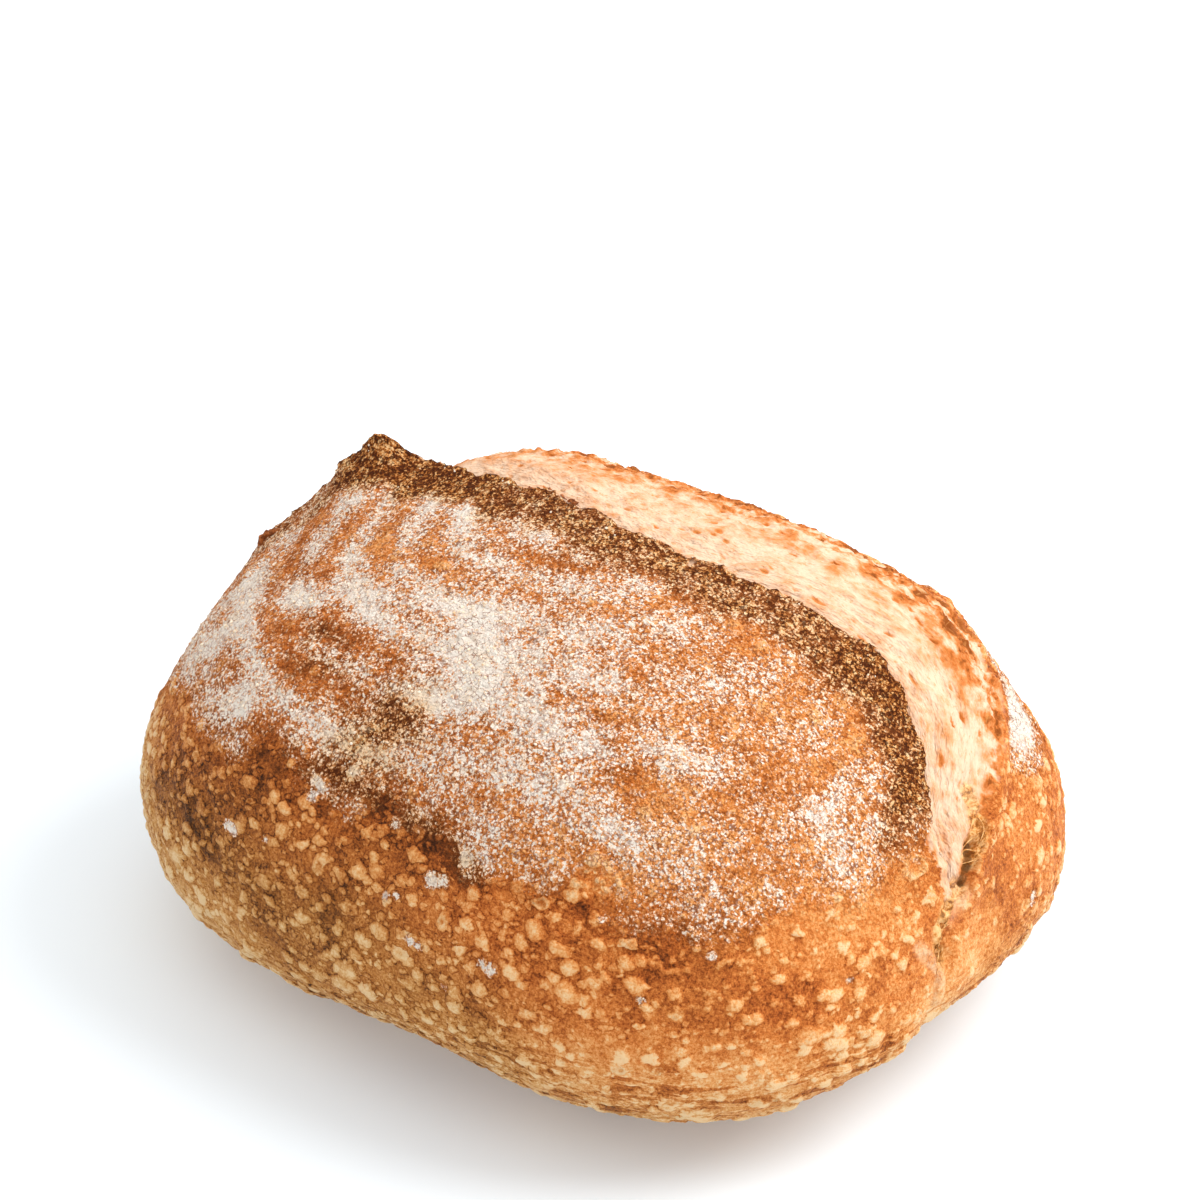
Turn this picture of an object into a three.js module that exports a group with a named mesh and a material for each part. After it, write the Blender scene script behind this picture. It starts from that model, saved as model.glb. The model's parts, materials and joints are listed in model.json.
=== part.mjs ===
// A sourdough loaf of the short oval kind, baked with one long cut.
// The loaf lies along X and rests on the plane z = 0. The cut runs over the top from one end to the other.
// In front of the cut (-Y) the crust has lifted into an ear; behind it the pale dough swells out of the opening.
import * as THREE from "three";

// Driving dimensions, in millimetres
const LENGTH = 235;
const WIDTH = 195;
const CROWN_HEIGHT = 117.5; // height of the baked dome without the ear or the swollen dough
const GIRTH_HEIGHT = 38.8; // height of the widest line above the table
const BASE_CUT = 1.4; // how far the round underside would pass below the table: it rests flat on this much
const PLAN_ROUNDNESS = 2.9; // exponent of the outline seen from above: 2 is an ellipse, more is squarer
const DOME_ROUNDNESS = 2.0; // the same for the upper half in section
const FOOT_ROUNDNESS = 2.8; // the same for the lower half in section

// The ear and the mouth of the cut
const RIM_THICKNESS = 2.6;
const FLAP_REACH = 46; // width of the band of crust in front of the rim that bends up into the ear
const FLAP_BEND = 2.2; // exponent of that bend: more keeps the flap flat for longer and turns its edge up more
const FAR_LIP_RISE = 1.8; // low ridge where the swollen dough meets the back crust
const FAR_LIP_WIDTH = 12;

const THINNEST_RIM = 0.6; // where the ear dies out at the ends of the cut
const UNDERCUT_SHARE = 0.35; // how far the hollow under the ear reaches in, for each millimetre of lift

// Unevenness of the crust: lumps first, then crags. lengths are along X, Y and Z, over 2 pi
const WAVES = [
  { height: 0.9, lengths: [19, 23, 17], phase: 0.7 },
  { height: 0.7, lengths: [12.5, 14, 13], phase: 2.1 },
  { height: 0.3, lengths: [3.7, 3.1, 3.3], phase: 1.3 },
  { height: 0.3, lengths: [2.3, 2.9, 2.6], phase: 4.2 },
];
const SMOOTH_FOOT = 12; // the lumps fade below this height, because the loaf was baked on a flat stone
const TEAR_HEIGHT = 0.55; // ridges of torn dough that run along the cut
const RIM_TATTER = 0.8; // how far the torn rim wanders in and out

// Places where the loaf stands out from its smooth form or falls short of it, in millimetres:
// the middle of each, how far it reaches along X, Y and Z, and its height over the smooth form
const SWELLINGS = [
  { name: "back lobe low on the right end", at: [114, 8, 22], reach: [40, 20, 19], height: 4.6 },
  { name: "front lobe low on the right end", at: [114, -31, 26], reach: [40, 11, 18], height: 2.4 },
  { name: "flat low on the front side", at: [22, -92, 12], reach: [34, 22, 17], height: -5 },
  { name: "flat low on the left end", at: [-90, -80, 30], reach: [17, 17, 17], height: -2.2 },
  { name: "flat high on the back's right", at: [80, 73, 72], reach: [14, 14, 14], height: -2.6 },
  { name: "shoulder of the swollen dough", at: [60, 66, 90], reach: [14, 12, 12], height: 1.8 },
];

// Fineness of the surface
const MERIDIANS = 108; // sections round the loaf's long outline
const TOP_CROWDING = 0.3; // 0 spaces the sections evenly, more brings them closer together over the top
const FRONT_ROWS = 15; // rows of faces from the middle of the front side up to the flap
const FLAP_ROWS = 7; // rows of faces over the flap
const SWELL_ROWS = 9; // rows of faces over the swollen dough
const BACK_ROWS = 14; // rows of faces from the far lip down to the middle of the back side
const TABLE_STEPS = 360; // steps by which the length of a section is measured
const HALVINGS = 32; // halvings that find the dome's radius

// Stations along the cut, by the angle round the loaf: 0 is the right end, 90 the top and 180 the left end.
// rimY: where the rim runs; lift: height of the ear over the dome; hang: how far the ear leans over the opening;
// depth: how deep the valley under the ear is; open: width of the opening; rise: swell of the dough over the dome.
const STATIONS = [
  { angle: -60, rimY: -36, lift: 0, hang: 0, depth: 0, open: 6, rise: 0 },
  { angle: -24, rimY: -24, lift: 0.2, hang: 0, depth: 0.6, open: 6, rise: 0 },
  { angle: -4, rimY: -20, lift: 0.6, hang: 0, depth: 1.1, open: 6, rise: 0 },
  { angle: 7, rimY: -17, lift: 0.9, hang: 0, depth: 1.2, open: 6, rise: 0 },
  { angle: 14, rimY: -9, lift: 1.6, hang: 0.4, depth: 2.6, open: 8, rise: -0.5 },
  { angle: 19, rimY: -8, lift: 2, hang: 1, depth: 5, open: 15, rise: -0.8 },
  { angle: 25, rimY: -7.5, lift: 2, hang: 1, depth: 5, open: 29, rise: 0.4 },
  { angle: 33, rimY: 1, lift: 2.5, hang: 1.6, depth: 4.8, open: 40, rise: 2.4 },
  { angle: 40, rimY: 8.5, lift: 3, hang: 2, depth: 4.6, open: 46, rise: 3.4 },
  { angle: 49, rimY: 12.5, lift: 3.8, hang: 2.6, depth: 4.6, open: 49, rise: 4 },
  { angle: 63, rimY: 8, lift: 4.1, hang: 3, depth: 5, open: 53, rise: 4.4 },
  { angle: 76, rimY: 0.5, lift: 5, hang: 3.6, depth: 5.4, open: 57, rise: 4 },
  { angle: 90, rimY: -2.5, lift: 5.6, hang: 4, depth: 6, open: 58, rise: 3.8 },
  { angle: 102, rimY: -2, lift: 6.7, hang: 4.4, depth: 6.4, open: 56, rise: 4.2 },
  { angle: 110, rimY: -1, lift: 8.4, hang: 4.6, depth: 7, open: 54, rise: 5.4 },
  { angle: 118, rimY: 0.5, lift: 12, hang: 4.6, depth: 7, open: 50, rise: 6 },
  { angle: 123, rimY: -1, lift: 19, hang: 4.4, depth: 7, open: 47, rise: 5.4 },
  { angle: 129, rimY: -3, lift: 17.8, hang: 3.6, depth: 6.4, open: 42, rise: 3.6 },
  { angle: 134, rimY: -6, lift: 13.2, hang: 3, depth: 5.6, open: 37, rise: 2.2 },
  { angle: 144, rimY: -18, lift: 8.8, hang: 2.4, depth: 5, open: 30, rise: 1 },
  { angle: 150, rimY: -25, lift: 3.2, hang: 1.2, depth: 4.4, open: 20, rise: 0.4 },
  { angle: 161, rimY: -28.5, lift: 0.8, hang: 0.4, depth: 3, open: 10, rise: 0 },
  { angle: 176, rimY: -31, lift: 0.5, hang: 0, depth: 2, open: 6, rise: 0 },
  { angle: 196, rimY: -33, lift: 0.2, hang: 0, depth: 0.8, open: 6, rise: 0 },
  { angle: 240, rimY: -36, lift: 0, hang: 0, depth: 0, open: 6, rise: 0 },
];

const HALF_LENGTH = LENGTH / 2;
const HALF_WIDTH = WIDTH / 2;
const DOME = CROWN_HEIGHT - GIRTH_HEIGHT;
const FOOT = GIRTH_HEIGHT + BASE_CUT;
const LAST_STATION = STATIONS.length - 1;

const { clamp, degToRad, lerp, radToDeg, smoothstep } = THREE.MathUtils;

// A value of the cut at an angle, on a smooth curve through the stations.
function atAngle(key, angle) {
  if (angle <= STATIONS[0].angle) return STATIONS[0][key];
  if (angle >= STATIONS[LAST_STATION].angle) return STATIONS[LAST_STATION][key];
  const i = STATIONS.findIndex((station) => station.angle > angle) - 1;
  const [a, b, c, d] = [i - 1, i, i + 1, i + 2].map((k) => STATIONS[clamp(k, 0, LAST_STATION)]);
  const slope = (p, q, r) => {
    const before = (q[key] - p[key]) / Math.max(q.angle - p.angle, 1);
    const after = (r[key] - q[key]) / Math.max(r.angle - q.angle, 1);
    return before * after > 0 ? (2 * before * after) / (before + after) : 0;
  };
  const span = c.angle - b.angle;
  const u = (angle - b.angle) / span;
  return (
    b[key] * (1 + 2 * u) * (1 - u) ** 2 +
    c[key] * u * u * (3 - 2 * u) +
    slope(a, b, c) * span * u * (1 - u) ** 2 -
    slope(b, c, d) * span * u * u * (1 - u)
  );
}

// How much of the cut there is at an angle: 0 on the whole crust and 1 where it gapes.
function cutShare(angle) {
  const rightEnd = smoothstep(angle, -34, 4);
  const leftEnd = 1 - smoothstep(angle, 176, 212);
  return rightEnd * leftEnd;
}

// One section of the loaf, in the half plane that stands on the loaf's Y axis at this angle.
// s is the distance along the crust from the middle of the front side.
class Meridian {
  constructor(angle) {
    const c = Math.cos(degToRad(angle));
    const s = Math.sin(degToRad(angle));
    this.across = Math.abs(c);
    this.up = Math.abs(s);
    this.roundness = s >= 0 ? DOME_ROUNDNESS : FOOT_ROUNDNESS;
    this.out = new THREE.Vector3(HALF_LENGTH * c, 0, (s >= 0 ? DOME : FOOT) * s);
    this.size = this.out.length();
    this.out.normalize();
    this.table = [];
    let length = 0;
    for (let k = 0; k <= TABLE_STEPS; k++) {
      const y = -HALF_WIDTH * Math.cos((Math.PI * k) / TABLE_STEPS);
      const radius = this.radius(y);
      if (k > 0) {
        const before = this.table[k - 1];
        length += Math.hypot(y - before.y, radius - before.radius);
      }
      this.table.push({ y, radius, length });
    }
    this.length = length;
  }

  // Distance of the smooth dome from the Y axis at y.
  radius(y) {
    const side = Math.abs(y / HALF_WIDTH) ** PLAN_ROUNDNESS;
    let low = 0;
    let high = 1;
    for (let k = 0; k < HALVINGS; k++) {
      const e = (low + high) / 2;
      const plan = ((e * this.across) ** PLAN_ROUNDNESS + side) ** (this.roundness / PLAN_ROUNDNESS);
      if (plan + (e * this.up) ** this.roundness < 1) low = e;
      else high = e;
    }
    return ((low + high) / 2) * this.size;
  }

  // The dome at distance s, with its direction along the section.
  row(s) {
    const at = clamp(s, 0, this.length);
    const i = Math.max(this.table.findIndex((t) => t.length >= at), 1);
    const a = this.table[i - 1];
    const b = this.table[i];
    const u = (at - a.length) / Math.max(b.length - a.length, 1e-9);
    const lead = this.table[Math.max(i - 4, 0)];
    const trail = this.table[Math.min(i + 3, TABLE_STEPS)];
    const along = new THREE.Vector2(trail.y - lead.y, trail.radius - lead.radius).normalize();
    return { y: lerp(a.y, b.y, u), radius: lerp(a.radius, b.radius, u), along };
  }

  // The distance s at which the dome reaches y.
  distanceTo(y) {
    const i = this.table.findIndex((t) => t.y >= y);
    const a = this.table[i - 1];
    const b = this.table[i];
    return lerp(a.length, b.length, (y - a.y) / (b.y - a.y));
  }

  // The point at distance s along the dome and height h over it.
  point(s, h) {
    const { y, radius, along } = this.row(s);
    const outward = new THREE.Vector2(-along.y, along.x);
    const p = this.out.clone().multiplyScalar(radius + h * outward.y);
    p.y = y + h * outward.x;
    p.z += GIRTH_HEIGHT;
    return p;
  }
}

// The flap's top from where it leaves the dome to the ear's edge, as [t, h] pairs.
function flapTop(lift, hang) {
  const pairs = [];
  for (let k = 0; k <= FLAP_ROWS; k++) {
    const u = k / FLAP_ROWS;
    pairs.push([-FLAP_REACH * (1 - u) + hang * u * u, lift * u ** FLAP_BEND]);
  }
  return pairs;
}

// The ear's torn edge and underside down to the floor of the valley.
function earUnderside(lift, hang, floor) {
  const thick = Math.min(RIM_THICKNESS, THINNEST_RIM + 0.5 * lift);
  const undercut = 1 + UNDERCUT_SHARE * lift;
  const roof = lift * ((FLAP_REACH - undercut) / FLAP_REACH) ** FLAP_BEND - thick;
  return [
    [hang + 0.5, lift - 0.6 * thick],
    [hang - 1.2, lift - 1.1 * thick],
    [-undercut, lerp(floor, roof, 0.75)],
    [-0.85 * undercut, lerp(floor, roof, 0.3)],
    [0.6, floor],
  ];
}

// The dough that swells out of the opening, with ridges where it tore, up to the far lip.
function swollenDough(angle, open, floor, rise) {
  const pairs = [];
  for (let k = 1; k <= SWELL_ROWS; k++) {
    const u = k / (SWELL_ROWS + 1);
    const swell = Math.sin(Math.PI * u ** 0.75) ** 0.8;
    const tear = TEAR_HEIGHT * swell * Math.sin(2.4 * k + 2 * Math.sin(0.06 * angle + k));
    pairs.push([lerp(1.4, open, u ** 0.9), floor * (1 - u) ** 2.6 + rise * swell + tear]);
  }
  return pairs;
}

// How far the torn edges of the cut wander at an angle.
function tatter(angle) {
  return RIM_TATTER * (Math.sin(angle * 1.9) + Math.sin(angle * 0.83 + 2) + 0.6 * Math.sin(angle * 4.3));
}

// The cut's profile at an angle, as [t, h] pairs from the crust in front of the flap to the crust behind the far lip.
// t is the distance across the cut from its rim, and h the height over the dome.
function cutProfile(angle) {
  const share = cutShare(angle);
  const lift = atAngle("lift", angle) + 0.4 * share * tatter(angle);
  const hang = atAngle("hang", angle) + 0.6 * share * tatter(angle);
  const open = atAngle("open", angle);
  const floor = -atAngle("depth", angle);
  const lip = FAR_LIP_RISE + 0.4 * tatter(angle);
  const profile = [
    ...flapTop(lift, hang),
    ...earUnderside(lift, hang, floor),
    ...swollenDough(angle, open, floor, atAngle("rise", angle)),
    [open, 0.35 * lip],
    [open + 0.3 * FAR_LIP_WIDTH, lip],
    [open + FAR_LIP_WIDTH, 0],
  ];
  const placed = smoothstep(share, 0, 0.35);
  return profile.map(([t, h], k) => {
    const plain = lerp(-FLAP_REACH, open + FAR_LIP_WIDTH, k / (profile.length - 1));
    return [lerp(plain, t, placed), h * share];
  });
}

// Height of the uneven crust over the smooth form at a point.
function unevenness(p) {
  const above = smoothstep(p.z, 0, SMOOTH_FOOT);
  let height = 0;
  for (const { height: full, lengths, phase } of WAVES) {
    const along = Math.sin(p.x / lengths[0] + phase) * Math.sin(p.y / lengths[1] + 2 * phase);
    height += above * full * along * Math.cos(p.z / lengths[2] + 3 * phase);
  }
  for (const { at, reach, height: full } of SWELLINGS) {
    const away = Math.hypot((p.x - at[0]) / reach[0], (p.y - at[1]) / reach[1], (p.z - at[2]) / reach[2]);
    height += full * Math.exp(-away * away);
  }
  return height;
}

// The rows of one section from the middle of the front side to the middle of the back side.
function sectionPoints(angle) {
  const meridian = new Meridian(angle);
  const profile = cutProfile(angle);
  const rim = meridian.distanceTo(atAngle("rimY", angle));
  const start = rim + profile[0][0];
  const end = rim + profile[profile.length - 1][0];
  const rows = [];
  for (let k = 1; k < FRONT_ROWS; k++) rows.push([(start * k) / FRONT_ROWS, 0]);
  for (const [t, h] of profile) rows.push([rim + t, h]);
  for (let k = 1; k < BACK_ROWS; k++) rows.push([lerp(end, meridian.length, k / BACK_ROWS), 0]);
  return rows.map(([s, h]) => meridian.point(s, h + unevenness(meridian.point(s, h))));
}

// The angle of a section, from -90, the middle of the underside, once round.
function sectionAngle(i) {
  const turn = (2 * Math.PI * i) / MERIDIANS;
  return radToDeg(turn + TOP_CROWDING * Math.sin(turn)) - 90;
}

// The loaf's closed surface: sections all round, joined row by row, and closed at the middle of both long sides.
// What would be below the table lies flat on it.
function loafGeometry() {
  const sections = [];
  for (let i = 0; i < MERIDIANS; i++) sections.push(sectionPoints(sectionAngle(i)));
  const rows = sections[0].length;
  const positions = sections.flat().flatMap((p) => [p.x, p.y, Math.max(p.z, 0)]);
  const front = positions.length / 3;
  positions.push(0, -HALF_WIDTH, GIRTH_HEIGHT);
  const back = front + 1;
  positions.push(0, HALF_WIDTH, GIRTH_HEIGHT);
  const index = [];
  for (let i = 0; i < MERIDIANS; i++) {
    const here = i * rows;
    const next = ((i + 1) % MERIDIANS) * rows;
    index.push(front, here, next);
    for (let j = 0; j < rows - 1; j++) {
      index.push(here + j, here + j + 1, next + j + 1);
      index.push(here + j, next + j + 1, next + j);
    }
    index.push(back, next + rows - 1, here + rows - 1);
  }
  const geometry = new THREE.BufferGeometry();
  geometry.setAttribute("position", new THREE.Float32BufferAttribute(positions, 3));
  geometry.setIndex(index);
  geometry.computeVertexNormals();
  return geometry;
}

// Moves a geometry so that its outline's middle is over the origin.
function centred(geometry) {
  geometry.computeBoundingBox();
  const middle = geometry.boundingBox.getCenter(new THREE.Vector3());
  return geometry.translate(-middle.x, -middle.y, 0);
}

const crust = new THREE.MeshStandardMaterial({ color: 0xb8753a, roughness: 0.85, metalness: 0 });
const loaf = new THREE.Mesh(centred(loafGeometry()), crust);
loaf.name = "loaf";

const sourdoughLoaf = new THREE.Group();
sourdoughLoaf.add(loaf);

export default sourdoughLoaf;
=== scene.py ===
import json
import math

import bpy
import numpy as np
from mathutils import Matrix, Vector
from mathutils.bvhtree import BVHTree

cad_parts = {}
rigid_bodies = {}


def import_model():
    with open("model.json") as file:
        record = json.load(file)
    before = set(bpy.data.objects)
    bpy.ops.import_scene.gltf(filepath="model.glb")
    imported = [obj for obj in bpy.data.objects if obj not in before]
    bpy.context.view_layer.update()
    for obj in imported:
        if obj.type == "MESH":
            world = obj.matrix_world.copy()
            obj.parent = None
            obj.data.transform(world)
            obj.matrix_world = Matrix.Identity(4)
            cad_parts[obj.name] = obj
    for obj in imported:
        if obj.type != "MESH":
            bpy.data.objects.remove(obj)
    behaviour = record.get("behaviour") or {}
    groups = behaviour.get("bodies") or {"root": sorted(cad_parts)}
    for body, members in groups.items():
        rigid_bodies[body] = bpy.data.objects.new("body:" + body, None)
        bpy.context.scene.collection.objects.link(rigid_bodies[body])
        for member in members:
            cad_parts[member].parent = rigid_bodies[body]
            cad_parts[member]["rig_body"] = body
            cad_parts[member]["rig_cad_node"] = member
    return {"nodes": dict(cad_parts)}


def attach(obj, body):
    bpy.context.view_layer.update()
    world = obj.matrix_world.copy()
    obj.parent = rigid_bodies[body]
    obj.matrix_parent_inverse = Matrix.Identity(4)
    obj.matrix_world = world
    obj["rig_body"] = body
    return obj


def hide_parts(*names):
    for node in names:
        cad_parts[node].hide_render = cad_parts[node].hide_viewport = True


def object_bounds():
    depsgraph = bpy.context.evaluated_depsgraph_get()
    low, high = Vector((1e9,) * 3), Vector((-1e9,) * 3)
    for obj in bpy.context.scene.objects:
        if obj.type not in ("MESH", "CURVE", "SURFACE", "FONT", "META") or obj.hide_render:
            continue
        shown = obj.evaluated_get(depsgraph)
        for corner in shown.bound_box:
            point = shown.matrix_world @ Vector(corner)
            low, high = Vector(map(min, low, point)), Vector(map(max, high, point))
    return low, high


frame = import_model()
CAD_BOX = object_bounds()
MM = 0.001

# The dome under the relief
MIDDLE = np.array([0.4, 0.23, 0.0])  # how far the dome's middle lies from the frame's origin
HALF_LENGTH, HALF_WIDTH, CROWN, GIRTH = 117.5, 97.5, 117.5, 38.8
HEIGHT_OVER_GIRTH = CROWN - GIRTH
DEPTH_UNDER_GIRTH = GIRTH + 1.4
PLAN_ROUNDNESS, DOME_ROUNDNESS, FOOT_ROUNDNESS = 2.9, 2.0, 2.8
FLAP_REACH, FLAP_BEND = 46.0, 2.2
RIM_TATTER = 0.8

# The cut, by the angle round the loaf: 0 is the right end, 90 the top and 180 the left end. Then where the
# ear's rim runs across the loaf, how high it stands over the dome, how far it leans over the opening, and
# where the far lip runs.
CUT = (
    (-60, -36, 0, 0, -30), (-24, -24, 0.2, 0, -18), (-4, -20, 0.6, 0, -14), (7, -17, 0.9, 0, -11),
    (14, -9, 1.6, 0.4, -1), (19, -8, 2, 1, 7), (25, -7.5, 2, 1, 21), (33, 1, 2.5, 1.6, 41),
    (40, 8.5, 3, 2, 52), (49, 12.5, 3.8, 2.6, 58.5), (63, 8, 4.1, 3, 57), (76, 0.5, 5, 3.6, 53.5),
    (90, -2.5, 5.6, 4, 52), (102, -2, 6.7, 4.4, 50.5), (110, -1, 8.4, 4.6, 49.5), (118, 0.5, 12, 4.6, 47),
    (123, -1, 19, 4.4, 43), (129, -3, 17.8, 3.6, 37), (134, -6, 13.2, 3, 30), (144, -18, 8.8, 2.4, 11.5),
    (150, -25, 3.2, 1.2, -5.5), (161, -28.5, 0.8, 0.4, -19), (176, -31, 0.5, 0, -25),
    (196, -33, 0.2, 0, -27), (240, -36, 0, 0, -30),
)
RIM_Y, LIFT, LEAN, LIP_Y = 1, 2, 3, 4  # columns of the cut

# Fineness
VOXEL = 0.70  # edge of a face of the finished crust
SKIN_INSET = 0.4  # the crust starts this far inside the solid, so that its relief stays in the solid's box
SHARP_EDGE, CREASE = math.radians(48), 0.75  # edges of the solid that stay crisp, and how crisp


def smoothstep(x, low, high):
    """0 at low and 1 at high, with a soft start and end, also where low is the larger."""
    u = np.clip((x - low) / (high - low), 0, 1)
    return u * u * (3 - 2 * u)


def along_cut(column, angle):
    """A measure of the cut at each angle, on a smooth curve that never overshoots the stations."""
    at = np.array([station[0] for station in CUT], float)
    value = np.array([station[column] for station in CUT], float)
    rate = np.diff(value) / np.diff(at)
    before, after = rate[:-1], rate[1:]
    slope = np.zeros(len(at))
    same_way = before * after > 0
    slope[1:-1][same_way] = (2 * before * after / np.where(same_way, before + after, 1))[same_way]
    i = np.clip(np.searchsorted(at, angle) - 1, 0, len(at) - 2)
    span = at[i + 1] - at[i]
    u = np.clip((angle - at[i]) / span, 0, 1)
    ends = value[i] * (1 + 2 * u) * (1 - u) ** 2 + value[i + 1] * u * u * (3 - 2 * u)
    return ends + span * u * (1 - u) * (slope[i] * (1 - u) - slope[i + 1] * u)


class Loaf:
    """Where points of the surface lie on the loaf: round it, across the cut, and over the smooth dome."""

    def __init__(self, points, normals):
        self.p = points / MM + MIDDLE
        x, y, z = self.p.T
        up = z - GIRTH
        tall = np.where(up > 0, HEIGHT_OVER_GIRTH, DEPTH_UNDER_GIRTH)
        power = np.where(up > 0, DOME_ROUNDNESS, FOOT_ROUNDNESS)
        angle = np.degrees(np.arctan2(up / tall, x / HALF_LENGTH))
        self.angle = np.where(angle < -90, angle + 360, angle)
        plan = np.abs(x / HALF_LENGTH) ** PLAN_ROUNDNESS + np.abs(y / HALF_WIDTH) ** PLAN_ROUNDNESS + 1e-6
        level = plan ** (power / PLAN_ROUNDNESS) + np.abs(up / tall) ** power
        self.over = (level ** (1 / power) - 1) * np.linalg.norm(self.p - (0, 0, GIRTH), axis=1) * 0.95
        # Size of the oval through the point, seen from above
        self.ring = plan ** (1 / PLAN_ROUNDNESS) * HALF_WIDTH
        steep = plan ** (power / PLAN_ROUNDNESS - 1)
        outward = np.stack([
            steep * np.abs(x / HALF_LENGTH) ** (PLAN_ROUNDNESS - 1) * np.sign(x) / HALF_LENGTH,
            steep * np.abs(y / HALF_WIDTH) ** (PLAN_ROUNDNESS - 1) * np.sign(y) / HALF_WIDTH,
            np.abs(up / tall) ** (power - 1) * np.sign(up) / tall,
        ], axis=1)
        outward /= np.linalg.norm(outward, axis=1, keepdims=True)
        self.facing = (normals * outward).sum(1)
        self.share = smoothstep(self.angle, -34, 4) * smoothstep(self.angle, 212, 176)
        wander = np.sin(self.angle * 1.9) + np.sin(self.angle * 0.83 + 2) + 0.6 * np.sin(self.angle * 4.3)
        wander *= RIM_TATTER * self.share
        self.across = y - along_cut(RIM_Y, self.angle)
        self.past_rim = self.across - along_cut(LEAN, self.angle) - 0.6 * wander
        self.to_lip = along_cut(LIP_Y, self.angle) - y
        self.lift = along_cut(LIFT, self.angle) * self.share + 0.4 * wander
        flap = np.clip(1 + self.across / FLAP_REACH, 0, 1.1)
        low = (self.over < self.lift * flap ** FLAP_BEND - 2.6) | (self.facing < 0.1)
        at_ear = (self.across > -16) & (self.past_rim < 1) & (self.share > 0.3) & (self.lift > 1)
        self.under_ear = low & at_ear
        # Distance along the cut, from the top of the loaf towards its left end
        radius = HALF_LENGTH * (1 - 0.28 * np.abs(np.cos(np.radians(self.angle))))
        self.along = np.radians(self.angle - 90) * radius


def spots(loaf, places):
    """Adds up soft round spots on the loaf: each has its middle, its reach and its strength."""
    total = np.zeros(len(loaf.p))
    for middle, reach, strength in places:
        away = np.linalg.norm((loaf.p - middle) / reach, axis=1)
        total += strength * np.exp(-away * away)
    return total


# Flour lies thickest on the flap's middle, in rings that a proving basket left. Their spacing, then the
# middle, reach and strength of what stands out from the even dusting. A negative strength is a bare place.
FLOUR_RING = 12.5
FLOUR_SPOTS = (
    ((2, -49, 107), (12, 9, 10), 0.5), ((8, -57, 103), (6, 4, 6), 0.6), ((-3, -41, 110), (8, 5, 7), 0.45),
    ((22, -56, 103), (14, 6, 8), 0.2), ((40, -63, 96), (16, 6, 8), 0.2), ((30, -38, 111), (18, 7, 9), 0.15),
    ((65, -46, 98), (14, 5, 7), 0.2), ((94, -30, 85), (6, 6, 7), 0.3), ((101, -21, 79), (5, 4, 5), 0.4),
    ((102, -12, 84), (4, 5, 5), 0.25), ((100, -33, 77), (5, 6, 4), 0.45), ((82, -64, 80), (10, 4, 4), 0.3),
    ((-79, -58, 85), (6, 10, 12), 0.55), ((-58, -75, 83), (7, 5, 7), 0.4),
    ((-88, -42, 90), (5, 9, 11), 0.5), ((-58, -48, 100), (14, 3, 5), 0.45),
    ((-36, -44, 107), (13, 4, 5), 0.4), ((-17, -42, 110), (10, 4, 5), 0.25),
    ((-69, -15, 110), (5, 4, 6), 0.25), ((-31, -13, 118), (14, 3, 6), 0.3),
    ((-54, -34, 106), (12, 3, 5), 0.2), ((0, -64, 98), (10, 4, 6), 0.25), ((62, -69, 86), (16, 4, 5), 0.25),
    ((-66, -38, 101), (9, 4, 6), -0.4), ((-54, -57, 98), (9, 4, 6), -0.4),
    ((-39, -58, 100), (9, 4, 6), -0.4), ((-36, -31, 111), (13, 3, 6), -0.35),
    ((-38, -67, 95), (12, 4, 6), -0.35), ((-16, -65, 98), (9, 4, 6), -0.3),
    ((44, -37, 109), (10, 3, 6), -0.3), ((36, -8, 116), (16, 4, 7), -0.25),
    ((58, -8, 109), (14, 4, 7), -0.25), ((84, -4, 94), (9, 5, 8), -0.25), ((62, -59, 93), (14, 3, 5), -0.3),
    ((-50, -25, 110), (14, 8, 8), -0.15), ((82, -48, 89), (12, 3, 5), -0.25),
    ((80, -32, 94), (12, 4, 6), -0.25), ((-84, -30, 96), (7, 6, 8), -0.3),
    ((-76, -19, 104), (9, 4, 7), -0.25), ((0, -19, 118), (12, 3, 6), -0.2),
    ((108, -14, 70), (6, 8, 10), -1.0),
)

# Flour on the crust behind the far lip
FLOUR_BEHIND = (
    ((95, 50, 76), (12, 16, 11), 1.3), ((70, 62, 84), (20, 9, 8), 0.6), ((20, 74, 88), (40, 8, 9), 0.45),
    ((-50, 66, 92), (34, 14, 12), 0.6), ((-84, 20, 96), (16, 22, 12), 0.5),
)

# Small lumps of flour on the blistered crust, with their reach
FLOUR_CLUMPS = (
    ((-17.4, -84.9, 76.8), 1.6), ((-20.1, -84.3, 77.7), 1.4), ((-19.4, -86.4, 74.7), 1.3),
    ((-43.9, -92.7, 59.3), 1.5), ((-41.3, -92.9, 59.0), 1.5), ((21.2, -89.5, 68.6), 2.0),
    ((24.5, -88.7, 69.2), 1.5), ((28.8, -85.5, 75.4), 1.3), ((19.3, -95.3, 53.6), 1.4),
    ((22.0, -95.3, 53.0), 1.1), ((9.6, -93.0, 61.2), 1.2), ((12.4, -92.4, 62.0), 0.9),
    ((42.9, -93.6, 54.5), 1.7), ((40.0, -93.7, 55.2), 1.2), ((-51.0, -77.0, 83.6), 3.0),
    ((6.3, -85.0, 75.8), 1.2), ((79.2, -83.0, 56.3), 1.1), ((111.0, -44.2, 54.5), 0.9),
    ((116.7, 28.0, 41.7), 1.9), ((-11.0, -80.8, 82.0), 1.4), ((30.0, -95.0, 45.0), 1.3),
    ((66.0, -81.0, 72.0), 1.0), ((90.0, -70.0, 66.0), 0.9), ((-30.0, -93.0, 61.0), 1.0),
)

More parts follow.
